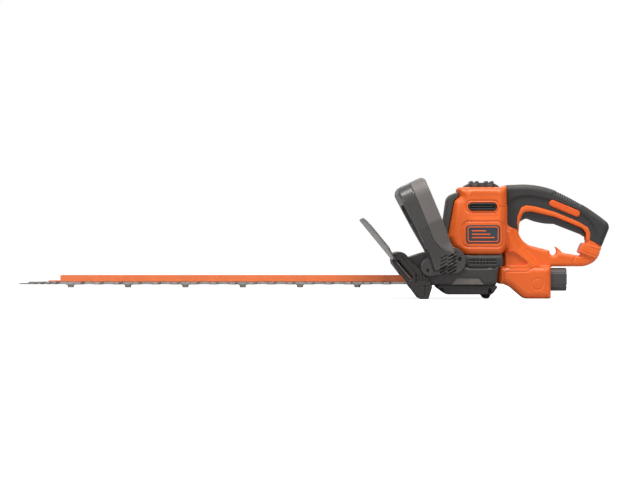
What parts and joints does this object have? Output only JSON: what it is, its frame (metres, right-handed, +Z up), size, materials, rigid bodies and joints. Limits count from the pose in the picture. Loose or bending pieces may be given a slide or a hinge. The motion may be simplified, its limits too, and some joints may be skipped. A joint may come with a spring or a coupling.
{
  "type": "electric hedge trimmer",
  "caption": "Hedge trimmer with a long double-sided reciprocating blade, clear hand guard, bail front handle, vertical motor housing and looped rear handle.",
  "frame": {"origin": "on the resting plane, under the middle of the overall box; the tool's middle plane is Y = 0", "axes": "-X along the blade towards its tip, +X towards the rear handle, +Z up"},
  "size_m": [0.8537, 0.172, 0.1734],
  "materials": {
    "orange_plastic": "fine moulded grain",
    "black_plastic": "fine moulded grain",
    "dark_plastic": "satin moulded",
    "soft_grip": "matt, ribbed",
    "clear_guard": "smoked clear plastic",
    "painted_bar": "gloss paint",
    "blade_steel": "ground",
    "plain_steel": "machined",
    "zinc_steel": "zinc plated",
    "copper": "enamelled copper wire",
    "brass": "plain",
    "carbon": "pressed carbon",
    "lead_sleeve": "insulated wire"
  },
  "bodies": {
    "frame": {"left_housing": "orange_plastic", "right_housing": "orange_plastic", "rear_collar": "orange_plastic", "grip_accents": "orange_plastic", "gear_case": "black_plastic", "gear_cover": "black_plastic", "guard_bracket": "black_plastic", "front_trim": "black_plastic", "vent_cap": "black_plastic", "motor_vents": "black_plastic", "case_grilles": "black_plastic", "name_plates": "dark_plastic", "label_plates": "dark_plastic", "left_grip": "soft_grip", "right_grip": "soft_grip", "front_handle_shell": "dark_plastic", "front_handle_cover": "dark_plastic", "power_inlet": "black_plastic", "power_switch": "black_plastic", "hand_guard": "clear_guard", "blade_bar": "painted_bar", "blade_bolts": "zinc_steel", "blade_washers": "zinc_steel", "blade_nuts": "zinc_steel", "bar_screws": "zinc_steel", "cover_screws": "zinc_steel", "housing_screws": "zinc_steel", "front_handle_screws": "zinc_steel", "trigger_pin": "zinc_steel", "trigger_spring": "zinc_steel", "stator_core": "plain_steel", "motor_plate": "plain_steel", "lower_motor_bearing": "plain_steel", "upper_motor_bearing": "plain_steel", "upper_spindle_bush": "brass", "lower_spindle_bush": "brass", "brush_holders": "brass", "field_coils": "copper", "carbon_brushes": "carbon", "brush_springs": "zinc_steel", "inlet_prongs": "brass", "supply_leads": "lead_sleeve"},
    "armature": {"armature_shaft": "plain_steel", "armature_core": "plain_steel", "armature_windings": "copper", "commutator": "copper", "cooling_fan": "black_plastic", "pinion": "plain_steel"},
    "gear": {"drive_gear": "plain_steel", "gear_spindle": "plain_steel", "upper_cam": "plain_steel", "lower_cam": "plain_steel"},
    "upper_knife": {"upper_blade": "blade_steel"},
    "lower_knife": {"lower_blade": "blade_steel"},
    "switch_lever": {"trigger": "black_plastic"}
  },
  "joints": [
    {"name": "armature_spin", "type": "hinge", "parent": "frame", "child": "armature", "pos_m": [0.24, 0, 0], "axis": [0, 0, 1], "range_deg": [-570, 570]},
    {"name": "gear_spin", "type": "hinge", "parent": "frame", "child": "gear", "pos_m": [0.207, 0, 0], "axis": [0, 0, 1], "range_deg": [-90.01, 90.01]},
    {"name": "upper_blade_slide", "type": "slide", "parent": "frame", "child": "upper_knife", "axis": [1, 0, 0], "range_m": [-0.00701, 0.00701]},
    {"name": "lower_blade_slide", "type": "slide", "parent": "frame", "child": "lower_knife", "axis": [1, 0, 0], "range_m": [-0.00701, 0.00701]},
    {"name": "trigger_pivot", "type": "hinge", "parent": "frame", "child": "switch_lever", "pos_m": [0.303, 0, 0.1255], "axis": [0, -1, 0], "range_deg": [0, 4.5], "stiffness_Nm_per_rad": 1.5, "springref_deg": -5.73, "deforming": ["trigger_spring"]}
  ],
  "couplings": [
    {"joint": "gear_spin", "follows": "armature_spin", "ratio": -0.15789},
    {"joint": "upper_blade_slide", "follows": "armature_spin", "m_per_rad": 0.00070363},
    {"joint": "lower_blade_slide", "follows": "armature_spin", "m_per_rad": -0.00070363}
  ]
}
